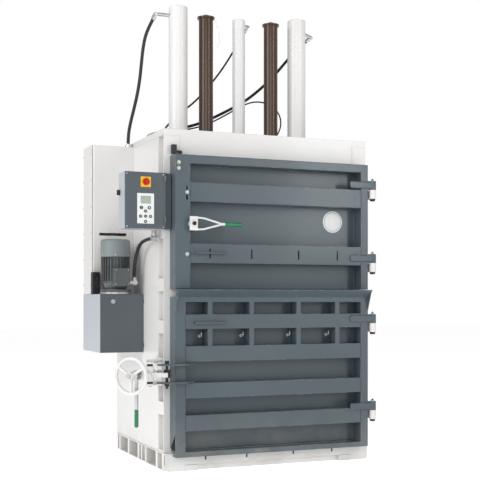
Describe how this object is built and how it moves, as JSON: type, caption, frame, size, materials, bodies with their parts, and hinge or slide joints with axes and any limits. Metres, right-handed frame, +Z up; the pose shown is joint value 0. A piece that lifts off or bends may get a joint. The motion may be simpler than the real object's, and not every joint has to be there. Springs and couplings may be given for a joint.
{
  "type": "recycling baler",
  "caption": "Vertical recycling baler: steel press frame with two side-hinged doors, hydraulic cylinders and guide posts on top, a side power unit and a control box.",
  "frame": {"origin": "on the floor under the line of the press cylinders, midway across the doors", "axes": "+Z up, +X to the right of someone facing the doors, +Y towards the back"},
  "size_m": [1.7805, 1.3853, 2.985],
  "materials": {
    "body_white": "semi-gloss powder coat",
    "door_grey": "satin powder coat",
    "cabinet_grey": "satin powder coat",
    "cabinet_light": "satin powder coat",
    "motor_dark": "cast and painted",
    "post_brown": "gloss enamel",
    "bright_steel": "ground and zinc plated",
    "grip_green": "moulded",
    "hose_black": "smooth cover",
    "black_plastic": "moulded",
    "motor_grey": "cast and painted",
    "keypad_white": "membrane",
    "switch_yellow": "moulded",
    "switch_red": "moulded"
  },
  "bodies": {
    "frame": {"base_frame": "body_white", "chamber_floor": "body_white", "left_side_wall": "body_white", "right_side_wall": "body_white", "rear_wall": "body_white", "head_frame": "body_white", "outer_cylinders": "body_white", "centre_cylinder": "body_white", "guide_bushes": "bright_steel", "frame_hinges": "body_white", "lock_bracket": "body_white", "lock_washers": "black_plastic", "tank_cabinet": "cabinet_light", "rear_cover": "body_white", "motor_body": "motor_dark", "fan_cover": "motor_grey", "terminal_box": "motor_dark", "oil_pump": "motor_grey", "valve_block": "black_plastic", "control_box_body": "cabinet_light", "limit_switch": "black_plastic", "left_hose": "hose_black", "centre_hose": "hose_black", "right_hose": "hose_black", "sensor_cable": "hose_black", "motor_cable": "hose_black", "hose_bulkheads": "bright_steel", "hose_elbows": "bright_steel"},
    "press": {"press_plate": "body_white", "piston_rods": "bright_steel", "guide_posts": "post_brown", "switch_strip": "bright_steel"},
    "upper_door": {"upper_door_panel": "door_grey", "upper_grab_bar": "door_grey"},
    "upper_latch": {"upper_handle": "body_white", "upper_handle_grip": "grip_green"},
    "lower_door": {"lower_door_panel": "door_grey", "lower_grab_bar": "door_grey", "lock_bolt": "bright_steel"},
    "lock_arm": {"lock_block": "body_white"},
    "lock_wheel": {"handwheel": "body_white", "lock_spindle": "bright_steel"},
    "ratchet": {"ratchet_lever": "bright_steel", "ratchet_grip": "grip_green"},
    "motor_shaft": {"motor_rotor": "bright_steel", "motor_fan": "black_plastic"},
    "control_panel": {"control_door": "cabinet_grey", "keypad_panel": "keypad_white", "main_switch_plate": "switch_yellow"},
    "main_switch": {"main_switch_knob": "switch_red"},
    "panel_lock": {"control_lock": "black_plastic"},
    "tank_door": {"tank_front_door": "cabinet_grey"},
    "tank_door_lock": {"tank_lock": "bright_steel"},
    "key_left_round": {"key_left_round": "black_plastic"},
    "key_right_round": {"key_right_round": "black_plastic"},
    "key_up": {"key_up": "black_plastic"},
    "key_left": {"key_left": "black_plastic"},
    "key_down": {"key_down": "black_plastic"},
    "key_right": {"key_right": "black_plastic"},
    "key_centre": {"key_centre": "black_plastic"}
  },
  "joints": [
    {"name": "press_travel", "type": "slide", "parent": "frame", "child": "press", "axis": [0, 0, -1], "range_m": [0, 0.77]},
    {"name": "upper_door_swing", "type": "hinge", "parent": "frame", "child": "upper_door", "pos_m": [0.7, -0.591, 1.5], "axis": [0, 0, 1], "range_deg": [0, 120]},
    {"name": "lower_door_swing", "type": "hinge", "parent": "frame", "child": "lower_door", "pos_m": [0.7, -0.591, 0.6], "axis": [0, 0, 1], "range_deg": [0, 170]},
    {"name": "upper_handle_turn", "type": "hinge", "parent": "upper_door", "child": "upper_latch", "pos_m": [-0.555, -0.631, 1.505], "axis": [0, -1, 0], "range_deg": [0, 90]},
    {"name": "lock_arm_swing", "type": "hinge", "parent": "frame", "child": "lock_arm", "pos_m": [-0.827, -0.621, 0.607], "axis": [0, 0, 1], "range_deg": [-10, 36]},
    {"name": "handwheel_turn", "type": "hinge", "parent": "lock_arm", "child": "lock_wheel", "pos_m": [-0.827, -0.621, 0.607], "axis": [0.766, 0.6428, 0], "continuous": true},
    {"name": "ratchet_swing", "type": "hinge", "parent": "lock_arm", "child": "ratchet", "pos_m": [-0.827, -0.621, 0.607], "axis": [0.766, 0.6428, 0], "range_deg": [-50, 50]},
    {"name": "motor_spin", "type": "hinge", "parent": "frame", "child": "motor_shaft", "pos_m": [-0.861, 0.011, 1.2], "axis": [0, 0, 1], "continuous": true},
    {"name": "control_door_swing", "type": "hinge", "parent": "frame", "child": "control_panel", "pos_m": [-0.706, -0.549, 1.64], "axis": [0, 0, 1], "range_deg": [0, 100]},
    {"name": "main_switch_turn", "type": "hinge", "parent": "control_panel", "child": "main_switch", "pos_m": [-0.829, -0.56, 1.752], "axis": [0, 1, 0], "range_deg": [0, 90]},
    {"name": "panel_lock_turn", "type": "hinge", "parent": "frame", "child": "panel_lock", "pos_m": [-0.957, -0.431, 1.693], "axis": [1, 0, 0], "range_deg": [0, 90]},
    {"name": "tank_door_swing", "type": "hinge", "parent": "frame", "child": "tank_door", "pos_m": [-0.707, -0.093, 0.9], "axis": [0, 0, 1], "range_deg": [0, 88]},
    {"name": "tank_lock_turn", "type": "hinge", "parent": "tank_door", "child": "tank_door_lock", "pos_m": [-0.904, -0.085, 1.034], "axis": [0, 1, 0], "range_deg": [0, 90]},
    {"name": "key_left_round_press", "type": "slide", "parent": "control_panel", "child": "key_left_round", "axis": [0, 1, 0], "range_m": [0, 0.0015], "stiffness_N_per_m": 400},
    {"name": "key_right_round_press", "type": "slide", "parent": "control_panel", "child": "key_right_round", "axis": [0, 1, 0], "range_m": [0, 0.0015], "stiffness_N_per_m": 400},
    {"name": "key_up_press", "type": "slide", "parent": "control_panel", "child": "key_up", "axis": [0, 1, 0], "range_m": [0, 0.0015], "stiffness_N_per_m": 400},
    {"name": "key_left_press", "type": "slide", "parent": "control_panel", "child": "key_left", "axis": [0, 1, 0], "range_m": [0, 0.0015], "stiffness_N_per_m": 400},
    {"name": "key_down_press", "type": "slide", "parent": "control_panel", "child": "key_down", "axis": [0, 1, 0], "range_m": [0, 0.0015], "stiffness_N_per_m": 400},
    {"name": "key_right_press", "type": "slide", "parent": "control_panel", "child": "key_right", "axis": [0, 1, 0], "range_m": [0, 0.0015], "stiffness_N_per_m": 400},
    {"name": "key_centre_press", "type": "slide", "parent": "control_panel", "child": "key_centre", "axis": [0, 1, 0], "range_m": [0, 0.0015], "stiffness_N_per_m": 400}
  ]
}
